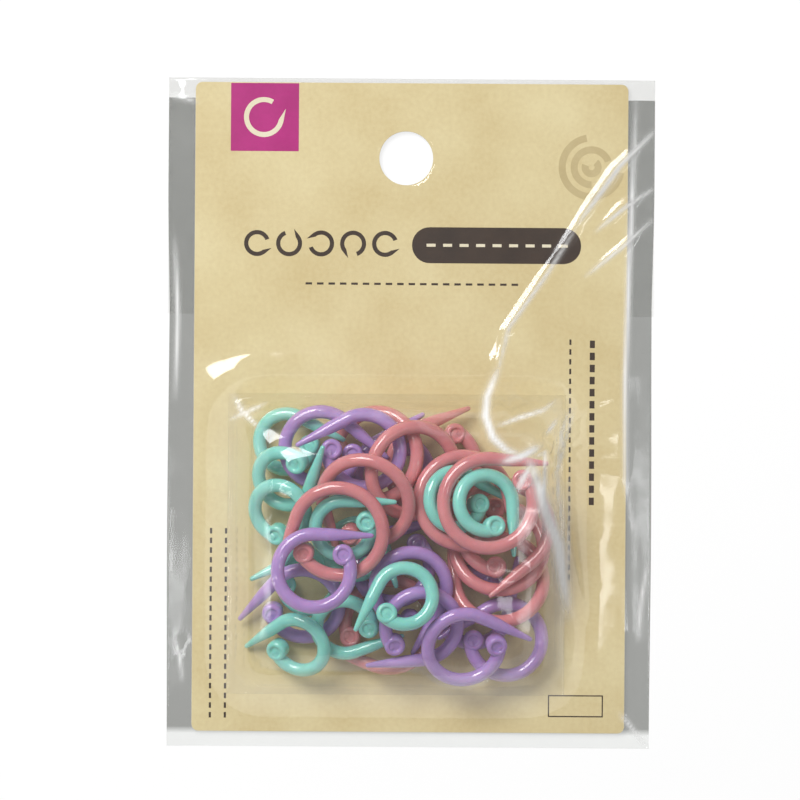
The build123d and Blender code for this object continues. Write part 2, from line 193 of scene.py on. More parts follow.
# %% Marker plastic
def plastic(name, pale, deep):
    material = new_material(name)
    tree = material.node_tree
    flow = use_group(tree, mottle, Broad=180.0, Fine=900.0, Fine_share=0.5)
    tint = put(tree, "ShaderNodeMix", {"Factor": flow["Shade"], "A": deep, "B": pale}, data_type="RGBA")
    girth = put(tree, "ShaderNodeAttribute", attribute_name="girth").outputs["Fac"]
    folded = calculate(tree, "SUBTRACT", calculate(tree, "PINGPONG", girth, 0.5), 0.25)
    half = calculate(tree, "ABSOLUTE", folded)
    line = put(tree, "ShaderNodeMapRange", {0: half, 1: 0.236, 2: 0.25, 3: 0.0, 4: 1.0}).outputs[0]
    height = calculate(tree, "MULTIPLY_ADD", flow["Height"], 0.25, line)
    bump = put(tree, "ShaderNodeBump", {"Strength": 0.25, "Distance": 0.03 * mm, "Height": height})
    body = put(tree, "ShaderNodeBsdfPrincipled", {
        "Base Color": tint.outputs["Result"], "Normal": bump.outputs["Normal"],
        "Roughness": use_group(tree, scuffs, Scale=700.0, Smooth=0.1, Dull=0.22)["Roughness"],
        "Subsurface Weight": 0.25, "Subsurface Scale": 0.6 * mm, "IOR": 1.49,
        "Coat Weight": 0.8, "Coat Roughness": 0.05, "Coat IOR": 1.5})
    put(tree, "ShaderNodeOutputMaterial", {"Surface": body.outputs[0]})
    return material


marker_plastic = {
    "small": plastic("mint_plastic", colour(152, 232, 220), colour(138, 220, 208)),
    "medium": plastic("lilac_plastic", colour(190, 152, 218), colour(176, 138, 206)),
    "large": plastic("pink_plastic", colour(228, 146, 150), colour(216, 133, 139)),
}
print("plastics:", [m.name for m in marker_plastic.values()])

# %% [markdown]
# ## The wire of a marker
#
# A marker is a bent wire: it runs round the ring from the disc, leaves it straight at the top and tapers to
# a blunt point. That is a rule, so Geometry Nodes can make it from a straight line: every point is moved to
# where that length of wire lies, on the ring while it lasts and along the tail after it. The radius follows
# the same length. One tree with named inputs then gives all three sizes.

# %% Geometry Nodes for the wire
def geometry_tree(name, inputs):
    """An empty Geometry Nodes tree with a geometry output and the inputs named, as label: kind."""
    tree = bpy.data.node_groups.new(name, "GeometryNodeTree")
    tree.interface.new_socket("Geometry", in_out="OUTPUT", socket_type="NodeSocketGeometry")
    for label, kind in inputs.items():
        tree.interface.new_socket(label, in_out="INPUT", socket_type="NodeSocket" + kind)
    return tree, put(tree, "NodeGroupInput").outputs


def finish_tree(tree, geometry, finish):
    """Ends a tree: one real mesh, smooth, with its material."""
    whole = put(tree, "GeometryNodeRealizeInstances", {"Geometry": geometry}).outputs[0]
    smooth = put(tree, "GeometryNodeSetShadeSmooth", {"Geometry": whole}).outputs[0]
    painted = put(tree, "GeometryNodeSetMaterial", {"Geometry": smooth, "Material": finish}).outputs[0]
    put(tree, "NodeGroupOutput", {"Geometry": painted})


def mesh_from_tree(tree, name, values):
    """Runs a tree with these input values and returns the mesh that it makes."""
    holder = bpy.data.objects.new(name, bpy.data.meshes.new(name))
    bpy.context.scene.collection.objects.link(holder)
    modifier = holder.modifiers.new("nodes", "NODES")
    modifier.node_group = tree
    labels = {item.name: item.identifier for item in tree.interface.items_tree if item.in_out == "INPUT"}
    for label, value in values.items():
        modifier[labels[label]] = value
    evaluated = holder.evaluated_get(bpy.context.evaluated_depsgraph_get())
    mesh = bpy.data.meshes.new_from_object(evaluated)
    holder.modifiers.remove(modifier)
    bpy.data.objects.remove(holder)
    mesh.name = name
    mesh.materials.clear()
    mesh.materials.append(values["Finish"])
    return mesh


def make_wire_tree():
    tree, given = geometry_tree("marker_wire", {
        "Ring radius": "Float", "Wire radius": "Float", "Sweep": "Float", "Tail length": "Float",
        "Slim along": "Float", "Slim share": "Float", "Tip radius": "Float", "Steps": "Int", "Sides": "Int",
        "Finish": "Material"})
    ring, tail = given["Ring radius"], given["Tail length"]
    arc = calculate(tree, "MULTIPLY", ring, given["Sweep"])
    end = put(tree, "ShaderNodeCombineXYZ", {"X": calculate(tree, "ADD", arc, tail)}).outputs[0]
    line = put(tree, "GeometryNodeCurvePrimitiveLine", {"End": end}).outputs[0]
    line = put(tree, "GeometryNodeResampleCurve", {"Curve": line, "Count": given["Steps"]}).outputs[0]

    place = put(tree, "GeometryNodeInputPosition").outputs[0]
    length = put(tree, "ShaderNodeSeparateXYZ", {0: place}).outputs["X"]
    turned = calculate(tree, "DIVIDE", calculate(tree, "MINIMUM", length, arc), ring)
    angle = calculate(tree, "SUBTRACT", calculate(tree, "ADD", given["Sweep"], math.pi / 2), turned)
    past = calculate(tree, "MAXIMUM", calculate(tree, "SUBTRACT", length, arc), 0.0)
    bent = put(tree, "ShaderNodeCombineXYZ", {
        "X": calculate(tree, "MULTIPLY_ADD", calculate(tree, "COSINE", angle), ring, past),
        "Y": calculate(tree, "MULTIPLY", calculate(tree, "SINE", angle), ring)}).outputs[0]

    share = calculate(tree, "DIVIDE", past, tail)
    slim = given["Slim share"]
    tip = calculate(tree, "DIVIDE", given["Tip radius"], given["Wire radius"])
    slim_end = given["Slim along"]
    first = put(tree, "ShaderNodeMapRange", {0: share, 1: 0.0, 2: slim_end, 3: 1.0, 4: slim}).outputs[0]
    last = put(tree, "ShaderNodeMapRange", {0: share, 1: slim_end, 2: 1.0, 3: slim, 4: tip}).outputs[0]
    thick = calculate(tree, "SUBTRACT", calculate(tree, "ADD", first, last), slim)
    radius = calculate(tree, "MULTIPLY", thick, given["Wire radius"])

    sized = put(tree, "GeometryNodeSetCurveRadius", {"Curve": line, "Radius": radius}).outputs[0]
    sized = put(tree, "GeometryNodeSetPosition", {"Geometry": sized, "Position": bent}).outputs[0]
    around = put(tree, "GeometryNodeCurvePrimitiveCircle",
                 {"Resolution": given["Sides"], "Radius": 1.0}).outputs[0]
    factor = put(tree, "GeometryNodeSplineParameter").outputs["Factor"]
    around = put(tree, "GeometryNodeStoreNamedAttribute",
                 {"Geometry": around, "Name": "girth", "Value": factor}, data_type="FLOAT").outputs[0]
    thickness = put(tree, "GeometryNodeInputRadius").outputs[0]
    wire = put(tree, "GeometryNodeCurveToMesh",
               {"Curve": sized, "Profile Curve": around, "Scale": thickness, "Fill Caps": True}).outputs[0]

    ball = put(tree, "GeometryNodeMeshUVSphere",
               {"Segments": 16, "Rings": 10, "Radius": given["Tip radius"]}).outputs[0]
    tip_place = put(tree, "ShaderNodeCombineXYZ", {"X": tail, "Y": ring}).outputs[0]
    ball = put(tree, "GeometryNodeTransform", {"Geometry": ball, "Translation": tip_place}).outputs[0]
    joined = put(tree, "GeometryNodeJoinGeometry")
    tree.links.new(ball, joined.inputs[0])
    tree.links.new(wire, joined.inputs[0])
    finish_tree(tree, joined.outputs[0], given["Finish"])
    return tree


wire_tree = make_wire_tree()

# %% [markdown]
# ## One marker of each size
#
# The sizes are the CAD model's, in millimetres. The disc at the end of the wire is turned like a button, so
# it is a lathe: a profile spun round its axis. Its face has a raised rim, a round dish and a low dome in the
# middle. The disc stands where the tail passes it with the mouth's gap.

# %% Marker sizes
wire_radius = 1.0
tip_radius = 0.35
disc_radius = 1.55
disc_half = 1.1
disc_inset = 0.5
mouth_gap = 0.6
slim_along = 0.35
slim_share = 0.92
ring_outer = {"small": 10.2, "medium": 12.6, "large": 15.0}
tail_length = {"small": 7.5, "medium": 8.2, "large": 7.9}


def ring_radius(size):
    return ring_outer[size] / 2 - wire_radius


def tail_thickness(size, along):
    """The tail's radius at a distance along it."""
    share = min(along / tail_length[size], 1)
    if share < slim_along:
        return wire_radius * (1 + (slim_share - 1) * share / slim_along)
    left = (share - slim_along) / (1 - slim_along)
    return wire_radius * slim_share + (tip_radius - wire_radius * slim_share) * left


def disc_angle(size):
    """Where the disc sits on the ring, in radians."""
    past = tail_thickness(size, ring_radius(size) * math.cos(math.radians(30))) + mouth_gap + disc_radius
    return math.pi / 2 - math.acos((ring_radius(size) - past) / (ring_radius(size) - disc_inset))


# %% The disc, turned from a profile
disc_profile = (
    (0.00, 0.86), (0.22, 0.85), (0.40, 0.80), (0.62, 0.79), (0.74, 0.82), (0.80, 0.92), (0.87, 1.04),
    (0.97, 1.09), (1.12, 1.10), (1.28, 1.06), (1.42, 0.95), (1.52, 0.76), (1.55, 0.50), (1.55, 0.00),
)


def lathe(profile, segments):
    """Points and faces of a profile of (radius, height) spun round Z, closed where the radius is zero."""
    points, faces, rings = [], [], []
    for radius, height in profile:
        count = segments if radius > 0 else 1
        rings.append(range(len(points), len(points) + count))
        for i in range(count):
            turn = 2 * math.pi * i / segments
            points.append((radius * math.cos(turn), radius * math.sin(turn), height))
    for upper, lower in zip(rings, rings[1:]):
        for i in range(segments):
            j = (i + 1) % segments
            if len(upper) == 1:
                faces.append((upper[0], lower[i], lower[j]))
            elif len(lower) == 1:
                faces.append((upper[i], lower[0], upper[j]))
            else:
                faces.append((upper[i], lower[i], lower[j], upper[j]))
    return points, faces


def disc_mesh(size):
    """The disc of one marker, in its place beside the ring."""
    whole = disc_profile + tuple((radius, -height) for radius, height in reversed(disc_profile[:-1]))
    points, faces = lathe(whole, 40)
    reach = ring_radius(size) - disc_inset
    centre = (reach * math.cos(disc_angle(size)), reach * math.sin(disc_angle(size)), 0)
    mesh = bpy.data.meshes.new("disc_" + size)
    mesh.from_pydata([[(p + c) * mm for p, c in zip(point, centre)] for point in points], [], faces)
    mesh.shade_smooth()
    mesh.materials.append(marker_plastic[size])
    return mesh


def joined_mesh(name, parts):
    """One mesh from several, with the material of the first."""
    whole = bmesh.new()
    for part in parts:
        whole.from_mesh(part)
    mesh = bpy.data.meshes.new(name)
    whole.to_mesh(mesh)
    whole.free()
    mesh.materials.append(parts[0].materials[0])
    return mesh


def marker_mesh(size):
    wire = mesh_from_tree(wire_tree, "wire_" + size, {
        "Ring radius": ring_radius(size) * mm, "Wire radius": wire_radius * mm,
        "Sweep": disc_angle(size) + 1.5 * math.pi, "Tail length": tail_length[size] * mm,
        "Slim along": slim_along, "Slim share": slim_share, "Tip radius": tip_radius * mm,
        "Steps": 150, "Sides": 22, "Finish": marker_plastic[size]})
    return joined_mesh("marker_" + size, [wire, disc_mesh(size)])


marker_meshes = {size: marker_mesh(size) for size in ring_outer}
print("faces in a marker:", {size: len(mesh.polygons) for size, mesh in marker_meshes.items()})

# %% [markdown]
# ## Where each marker lies
#
# The CAD model already holds the heap: 33 rings that cross without touching. Each CAD ring is made of flats,
# and the round one has to lie exactly where it does. So the corners of a flat-sided ring are worked out
# again from the same sizes, and turned and moved until they meet the corners of the CAD mesh. The start is
# the main axes of both clouds of points, twisted a little either way, and a few rounds of nearest-point
# fitting make it exact. The start that ends closest is kept.

# %% Reading a marker's place from its CAD mesh
wire_sides = 8
ring_sag = 0.12


def flat_sided_corners(size):
    """The corners of the CAD marker of this size, lying flat, in metres."""
    ring = ring_radius(size)
    start = disc_angle(size) + 2 * math.pi
    chords = math.ceil((start - math.pi / 2) / (2 * math.acos(1 - ring_sag / ring)))
    stations = []
    for i in range(2, chords + 1):
        angle = start + (math.pi / 2 - start) * i / chords
        side = np.array((math.cos(angle), math.sin(angle), 0))
        stations.append((side * ring, side, wire_radius))
    for along in (slim_along * tail_length[size], tail_length[size]):
        stations.append((np.array((along, ring, 0)), np.array((0, 1, 0)), tail_thickness(size, along)))
    corners = []
    for centre, side, radius in stations:
        for k in range(wire_sides):
            turn = 2 * math.pi * (k + 0.5) / wire_sides
            corners.append(centre + radius * (side * math.cos(turn) + np.array((0, 0, math.sin(turn)))))
    return np.array(corners) * mm


def disc_corners(size):
    """About where the corners of the CAD disc lie. They only help to find the start."""
    reach = ring_radius(size) - disc_inset
    centre = np.array((reach * math.cos(disc_angle(size)), reach * math.sin(disc_angle(size)), 0))
    corners = []
    for k in range(12):
        turn = 2 * math.pi * k / 12
        side = np.array((math.cos(turn), math.sin(turn), 0))
        for radius, height in ((disc_radius, 0.7), (disc_radius - 0.4, disc_half)):
            corners += [centre + side * radius + np.array((0, 0, z)) for z in (height, -height)]
    return np.array(corners) * mm


def best_turn(source, target):
    """The rotation and shift that bring one list of points onto another."""
    source_mean, target_mean = source.mean(0), target.mean(0)
    left, _, right = np.linalg.svd((source - source_mean).T @ (target - target_mean))
    handed = np.diag((1, 1, np.sign(np.linalg.det(right.T @ left.T))))
    rotation = right.T @ handed @ left.T
    return rotation, target_mean - rotation @ source_mean


def place_of(node, corners, disc):
    """The rotation and shift from a flat marker to its CAD node, and the error that is left."""
    cloud = np.array([v.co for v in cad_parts[node].data.vertices])
    cloud = np.unique(cloud.round(7), axis=0)
    whole = np.vstack((corners, disc))
    axes = [np.linalg.svd(points - points.mean(0), full_matrices=False)[2] for points in (whole, cloud)]
    best = None
    for *signs, twist in product((1, -1), (1, -1), (-12, -6, 0, 6, 12)):
        flip = np.diag((*signs, 1.0))
        flip[2, 2] = np.sign(np.linalg.det(axes[1].T @ flip @ axes[0]))
        rotation = axes[1].T @ flip @ axes[0] @ np.array(Matrix.Rotation(math.radians(twist), 3, "Z"))
        shift = cloud.mean(0) - rotation @ whole.mean(0)
        for _ in range(18):
            moved = corners @ rotation.T + shift
            distances = np.linalg.norm(moved[:, None] - cloud[None], axis=2)
            rotation, shift = best_turn(corners, cloud[distances.argmin(1)])
        error = np.median(distances.min(1))
        if best is None or error < best[2]:
            best = rotation, shift, error
    return best


# %% The 33 markers
markers = []
worst_fit = 0.0
corners_of = {size: (flat_sided_corners(size), disc_corners(size)) for size in ring_outer}
for node in sorted(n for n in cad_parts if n.startswith("marker_")):
    size = node.split("_")[1]
    rotation, shift, error = place_of(node, *corners_of[size])
    worst_fit = max(worst_fit, error)
    mesh = marker_meshes[size].copy()
    mesh.transform(Matrix.Translation(shift) @ Matrix(rotation).to_4x4())
    marker = bpy.data.objects.new(node.replace("marker", "ring"), mesh)
    bpy.context.scene.collection.objects.link(marker)
    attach(marker, "pouch")
    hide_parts(node)
    markers.append(marker)
print(f"{len(markers)} markers, worst fit {worst_fit / mm:.4f} mm")

# %% [markdown]
# ## The card
#
# The card is cut from paperboard: printed on its face, plain on its back, with a paler core at its cut edge.
# A flat curve with a second loop for the hole fills itself, and its extrusion and a fine bevel give the
# thickness. After it is a mesh, each face takes its material by the way it looks.

# %% Paper finishes
def paper(name, pale, deep, broad, fibre):
    """Paper with a mottled tint and a fine tooth."""
    material = new_material(name)
    tree = material.node_tree
    cloud = use_group(tree, mottle, Broad=broad, Fine=1500.0, Fine_share=0.35)
    tint = put(tree, "ShaderNodeMix", {"Factor": cloud["Shade"], "A": deep, "B": pale}, data_type="RGBA")
    bump = put(tree, "ShaderNodeBump", {"Strength": fibre, "Distance": 0.02 * mm, "Height": cloud["Height"]})
    body = put(tree, "ShaderNodeBsdfPrincipled", {
        "Base Color": tint.outputs["Result"], "Normal": bump.outputs["Normal"],
        "Roughness": use_group(tree, scuffs, Scale=90.0, Smooth=0.55, Dull=0.75)["Roughness"]})
    put(tree, "ShaderNodeOutputMaterial", {"Surface": body.outputs[0]})
    return material


printed_face = paper("printed_card_face", colour(240, 224, 174), colour(223, 202, 148), 70.0, 0.25)
plain_board = paper("plain_board", colour(236, 233, 224), colour(222, 218, 206), 120.0, 0.5)
dark_ink = paper("dark_brown_ink", colour(66, 48, 34), colour(54, 38, 26), 300.0, 0.1)
tan_ink = paper("tan_ink", colour(214, 195, 146), colour(204, 184, 134), 200.0, 0.1)
plum_ink = paper("plum_ink", colour(196, 34, 134), colour(184, 26, 124), 200.0, 0.1)
cream_ink = paper("cream_ink", colour(248, 238, 210), colour(240, 228, 196), 200.0, 0.1)

# %% Flat cut shapes
def circle_points(centre, radius, count=48):
    return [(centre[0] + radius * math.cos(2 * math.pi * i / count),
             centre[1] + radius * math.sin(2 * math.pi * i / count)) for i in range(count)]


def rounded_box(low, high, radius, steps=8):
    """The outline of a box with round corners."""
    points = []
    corners = ((high[0], high[1], 0), (low[0], high[1], 90), (low[0], low[1], 180), (high[0], low[1], 270))
    for x, y, start in corners:
        cx = x - radius if x == high[0] else x + radius
        cy = y - radius if y == high[1] else y + radius
        for i in range(steps + 1):
            turn = math.radians(start + 90 * i / steps)
            points.append((cx + radius * math.cos(turn), cy + radius * math.sin(turn)))
    return points


def flat_cut(name, loops, bottom, top, bevel=0.0):
    """A flat sheet between two heights, with its outline and holes given as loops of points."""
    curve = bpy.data.curves.new(name, "CURVE")
    curve.dimensions = "2D"
    curve.fill_mode = "BOTH"
    curve.extrude = (top - bottom) / 2 - bevel
    curve.bevel_depth = bevel
    for loop in loops:
        spline = curve.splines.new("POLY")
        spline.points.add(len(loop) - 1)
        for point, (x, y) in zip(spline.points, loop):
            point.co = (x, y, 0, 1)
        spline.use_cyclic_u = True
    holder = bpy.data.objects.new(name, curve)
    bpy.context.scene.collection.objects.link(holder)
    mesh = bpy.data.meshes.new_from_object(holder.evaluated_get(bpy.context.evaluated_depsgraph_get()))
    bpy.data.objects.remove(holder)
    cut = bmesh.new()
    cut.from_mesh(mesh)
    bmesh.ops.remove_doubles(cut, verts=cut.verts, dist=0.0005 * mm)
    bmesh.ops.recalc_face_normals(cut, faces=cut.faces)
    cut.to_mesh(mesh)
    cut.free()
    mesh.transform(Matrix.Translation((0, 0, (top + bottom) / 2)))
    mesh.name = name
    return mesh


def piece(name, mesh, body, slot, *materials):
    """A finished piece that rides on a body, with its materials."""
    made = bpy.data.objects.new(name, mesh)
    bpy.context.scene.collection.objects.link(made)
    if materials:
        mesh.materials.clear()
        for material in materials:
            mesh.materials.append(material)
    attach(made, body)
    return made


# %% The card itself
card_low, card_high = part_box("backing_card")
hole_centre = (-0.8 * mm, 37.7 * mm)
hole_radius = 4.0 * mm
card_corner = 1.0 * mm
card_mesh = flat_cut(
    "card", [rounded_box(card_low, card_high, card_corner), circle_points(hole_centre, hole_radius, 72)],
    card_low.z, card_high.z, bevel=0.03 * mm)
card = piece("card", card_mesh, "card", "card", printed_face, plain_board)
for face in card_mesh.polygons:
    face.material_index = 0 if face.normal.z > 0.9 else 1
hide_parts("backing_card")
print("card faces:", len(card_mesh.polygons))

# %% [markdown]
# ## The print on the card
#
# The ink is a layer of its own, a hundredth of a millimetre thick, cut from flat shapes. Its motifs are
# generic: open rings with tails like the markers, plain bars, arcs and rows of running stitch. The rows of
# stitches repeat along a line, which is work for Geometry Nodes: a line, points on it, a dash on each.

# %% Geometry Nodes for rows of stitches
def make_stitch_tree():
    tree, given = geometry_tree("stitch_row", {
        "Start": "Vector", "End": "Vector", "Count": "Int", "Length": "Float", "Width": "Float",
        "Thickness": "Float", "Finish": "Material"})
    line = put(tree, "GeometryNodeCurvePrimitiveLine",
               {"Start": given["Start"], "End": given["End"]}).outputs[0]
    line = put(tree, "GeometryNodeResampleCurve", {"Curve": line, "Count": given["Count"]}).outputs[0]
    size = put(tree, "ShaderNodeCombineXYZ",
               {"X": given["Length"], "Y": given["Width"], "Z": given["Thickness"]}).outputs[0]
    dash = put(tree, "GeometryNodeMeshCube", {"Size": size}).outputs[0]
    along = put(tree, "GeometryNodeInputTangent").outputs[0]
    turn = put(tree, "FunctionNodeAlignRotationToVector", {"Vector": along}, axis="X").outputs[0]
    row = put(tree, "GeometryNodeInstanceOnPoints",
              {"Points": line, "Instance": dash, "Rotation": turn}).outputs[0]
    whole = put(tree, "GeometryNodeRealizeInstances", {"Geometry": row}).outputs[0]
    painted = put(tree, "GeometryNodeSetMaterial",
                  {"Geometry": whole, "Material": given["Finish"]}).outputs[0]
    put(tree, "NodeGroupOutput", {"Geometry": painted})
    return tree


stitch_tree = make_stitch_tree()
ink_thickness = 0.01 * mm
ink_bottom = card_high.z + 0.002 * mm
ink_top = ink_bottom + ink_thickness


def stitch_row(name, start, end, count, length, width, ink):
    """A row of printed dashes between two points of the photograph."""
    ends = [(*seen_at(*point), (ink_bottom + ink_top) / 2) for point in (start, end)]
    mesh = mesh_from_tree(stitch_tree, name, {
        "Start": ends[0], "End": ends[1], "Count": count, "Length": length * pixel, "Width": width * pixel,
        "Thickness": ink_thickness, "Finish": ink})
    return piece(name, mesh, "card", "card")


rows = {
    "stitches_under_title": ((308, 284), (514, 284), 19, 6.5, 2.2, dark_ink),
    "stitches_right_wide": ((592, 343), (592, 500), 14, 7.5, 5.0, dark_ink),
    "stitches_right_thin": ((570, 341), (570, 576), 25, 5.5, 2.0, dark_ink),
    "stitches_left_outer": ((227, 532), (227, 716), 20, 5.5, 2.2, dark_ink),
    "stitches_left_inner": ((212, 532), (212, 716), 20, 5.5, 2.2, dark_ink),
    "stitches_in_bar": ((430, 245), (562, 245), 9, 9.0, 3.0, cream_ink),
}


# %% Printed shapes
prints = []


def printed(name, loops, ink, level=0):
    """A printed shape. Its level lifts it over another print."""
    lift = level * 2 * ink_thickness
    mesh = flat_cut(name, loops, ink_bottom + lift, ink_top + lift)
    prints.append(piece(name, mesh, "card", "card", ink))


def pixel_box(left, top, right, bottom):
    """The lowest and highest corner of a box that is given in pixels."""
    a, b = seen_at(left, bottom), seen_at(right, top)
    return (a.x, a.y), (b.x, b.y)


def open_ring(centre, radius, width, start, end, tail=0.0):
    """The outline of a ring that is cut open, with a straight tail at its end angle if one is asked for."""
    steps = 40
    turns = [math.radians(start + (end - start) * i / steps) for i in range(steps + 1)]
    outer, inner = ([(centre[0] + reach * math.cos(t), centre[1] + reach * math.sin(t)) for t in turns]
                    for reach in (radius, radius - width))
    if tail:
        along = Vector((-math.sin(turns[-1]), math.cos(turns[-1]))) * tail
        outer.append((outer[-1][0] + along.x, outer[-1][1] + along.y))
    return outer + inner[::-1]


title_rings = ((256, 244), (288, 244), (320, 244), (352, 244), (384, 244))
title_turns = (20, 110, 200, 290, 20)
title = [open_ring(seen_at(*middle), 13 * pixel, 4.2 * pixel, turn, turn + 290, tail=8 * pixel)
         for middle, turn in zip(title_rings, title_turns)]
printed("title_rings", title, dark_ink)
bar_low, bar_high = pixel_box(411, 227, 580, 263)
printed("title_bar", [rounded_box(bar_low, bar_high, (bar_high[1] - bar_low[1]) / 2 * 0.98)], dark_ink)
tab_low, tab_high = pixel_box(229, 84, 297, 152)
printed("corner_tab", [rounded_box(tab_low, tab_high, 0.6 * pixel)], plum_ink)
tab_ring = open_ring(seen_at(262, 118), 20 * pixel, 5 * pixel, 60, 350, tail=12 * pixel)
printed("tab_ring", [tab_ring], cream_ink, 1)
arcs = [open_ring(seen_at(590, 166), radius * pixel, 7 * pixel, start, start + 250)
        for radius, start in ((33, 100), (21, 20), (10, 160))]
printed("tan_arcs", arcs, tan_ink)
frame_low, frame_high = pixel_box(550, 694, 605, 716)
inset = 1.2 * pixel
printed("small_frame", [
    rounded_box(frame_low, frame_high, 0.3 * pixel),
    rounded_box([v + inset for v in frame_low], [v - inset for v in frame_high], 0.3 * pixel)], dark_ink)
for name, values in rows.items():
    row = stitch_row(name, *values)
    if name == "stitches_in_bar":
        row.data.transform(Matrix.Translation((0, 0, 2 * ink_thickness)))
    prints.append(row)
print("prints made:", len(prints))

# %% [markdown]
# ## Clear film
#
# Film is thin, so light goes through it unbent. A Transparent shader does that, and also lets the lamps
# through to the card. What shows the film is its gloss: a mirror mixed in by Fresnel, with the same index
# from both sides, because a Fresnel node would take the inside of the film for solid plastic. Where it
# stands steeply more film is in the way, so it darkens slightly by Layer Weight. Light on its way to the
# things inside passes freely, as film this thin throws no shadow to speak of. The back panel is given a
# grey tint, which is painted shade for the shade between the layers, because the real margins look grey
# against a pale ground. At the foot of the bag a pale tint takes its place.

# %% Film finishes
foot_starts = -46.6 * mm
foot_whole = -47.6 * mm


def film(name, clear, steep, haze, foot=None):
    """Clear film. Where it has a foot tint, that takes over at the lower edge of the bag, where the painted
    shade of a grey clear tint ends.
    """
    material = new_material(name)
    tree = material.node_tree
    if foot:
        place = put(tree, "ShaderNodeSeparateXYZ", {0: put(tree, "ShaderNodeTexCoord").outputs["Object"]})
        low = put(tree, "ShaderNodeMapRange", {0: place.outputs["Y"], 1: foot_starts, 2: foot_whole})
        low = low.outputs[0]
        tint = put(tree, "ShaderNodeMix", {"Factor": low, "A": clear, "B": foot}, data_type="RGBA")
        clear = tint.outputs["Result"]
    facing = put(tree, "ShaderNodeLayerWeight", {"Blend": 0.35}).outputs["Facing"]
    turned = calculate(tree, "POWER", facing, 2.0)
    through = put(tree, "ShaderNodeMix", {"Factor": turned, "A": clear, "B": steep}, data_type="RGBA")
    see = put(tree, "ShaderNodeBsdfTransparent", {"Color": through.outputs["Result"]}).outputs[0]
    marks = use_group(tree, mottle, Broad=70.0, Fine=500.0, Fine_share=0.6)
    bump = put(tree, "ShaderNodeBump", {"Strength": 0.12, "Distance": 0.05 * mm, "Height": marks["Shade"]})
    mirror = put(tree, "ShaderNodeBsdfPrincipled", {
        "Base Color": (0.95, 0.96, 0.97, 1.0), "Metallic": 1.0, "Normal": bump.outputs["Normal"],
        "Roughness": use_group(tree, scuffs, Scale=160.0, Smooth=0.06, Dull=0.2)["Roughness"]}).outputs[0]
    behind = put(tree, "ShaderNodeNewGeometry").outputs["Backfacing"]
    either_way = calculate(tree, "POWER", 1.6, calculate(tree, "MULTIPLY_ADD", behind, -2.0, 1.0))
    shine = put(tree, "ShaderNodeFresnel", {"IOR": either_way, "Normal": bump.outputs["Normal"]}).outputs[0]
    share = calculate(tree, "MULTIPLY_ADD", marks["Shade"], haze, shine)
    mix = put(tree, "ShaderNodeMixShader", {0: share, 1: see, 2: mirror})
    # Where the mesh's fold_highlight value is high, a white matt shader is mixed in. This is a painted
    # highlight along sharp folds.
    fold_highlight = put(tree, "ShaderNodeAttribute", attribute_name="fold_highlight").outputs["Fac"]
    bright = put(tree, "ShaderNodeBsdfDiffuse", {"Color": (0.97, 0.97, 0.96, 1.0)}).outputs[0]
    mix = put(tree, "ShaderNodeMixShader", {0: fold_highlight, 1: mix.outputs[0], 2: bright})
    path = put(tree, "ShaderNodeLightPath").outputs
    lighting = calculate(tree, "MAXIMUM", path["Is Shadow Ray"], path["Is Diffuse Ray"])
    open_way = put(tree, "ShaderNodeBsdfTransparent", {"Color": (1.0, 1.0, 1.0, 1.0)}).outputs[0]
    mix = put(tree, "ShaderNodeMixShader", {0: lighting, 1: mix.outputs[0], 2: open_way})
    put(tree, "ShaderNodeOutputMaterial", {"Surface": mix.outputs[0]})
    return material


clear_film = film("clear_film", (0.985, 0.985, 0.98, 1.0), (0.93, 0.93, 0.92, 1.0), 0.012)
# The back panel's grey clear tint is painted shade for the shade between the layers in the margins. The pale
# foot tint lifts it at the lower edge.
back_film_painted_shade = film("back_film_painted_shade", (0.37, 0.375, 0.36, 1.0), (0.35, 0.35, 0.34, 1.0), 0.02,
                 foot=(0.95, 0.96, 0.95, 1.0))
flap_film = film("flap_film", (0.98, 0.98, 0.975, 1.0), (0.93, 0.93, 0.93, 1.0), 0.02)
pouch_film = film("pouch_film", (0.985, 0.98, 0.965, 1.0), (0.92, 0.91, 0.88, 1.0), 0.012)
glue = film("adhesive_strip", (0.96, 0.955, 0.94, 1.0), (0.9, 0.9, 0.88, 1.0), 0.04)

# %% [markdown]
# ## How film drapes
#
# The CAD films are plain facets: a tray over the card, and a pillow over the heap. Real film has the same
# form, but it is drawn tight over what holds it up. So the CAD's height is read on a fine grid, by looking
# straight down on the solid, and then each point takes the mean of its neighbours again and again. It's
# never lower than what lies under it, which is how film spans from ring to ring. Crinkles come after that,
# as ridges along lines and as ripples of several lengths.

# %% Grids and draping
grid_step = 0.42 * mm
film_room = 0.1 * mm


def grid_between(low, high):
    """Columns and rows of a grid over a box."""
    counts = [max(2, round((high[i] - low[i]) / grid_step)) + 1 for i in range(2)]
    return np.linspace(low[0], high[0], counts[0]), np.linspace(low[1], high[1], counts[1])


def cad_heights(node, columns, rows, ground):
    """How high a CAD solid reaches over each point of a grid, and the ground where it isn't."""
    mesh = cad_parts[node].data
    solid = BVHTree.FromPolygons([v.co for v in mesh.vertices], [p.vertices for p in mesh.polygons])
    down = Vector((0, 0, -1))
    heights = np.full((len(rows), len(columns)), ground)
    for j, y in enumerate(rows):
        for i, x in enumerate(columns):
            hit = solid.ray_cast(Vector((x, y, 1)), down)[0]
            if hit is not None:
                heights[j, i] = max(hit.z, ground)
    return heights


def neighbour_mean(heights):
    padded = np.pad(heights, 1, mode="edge")
    return (padded[:-2, 1:-1] + padded[2:, 1:-1] + padded[1:-1, :-2] + padded[1:-1, 2:]) / 4


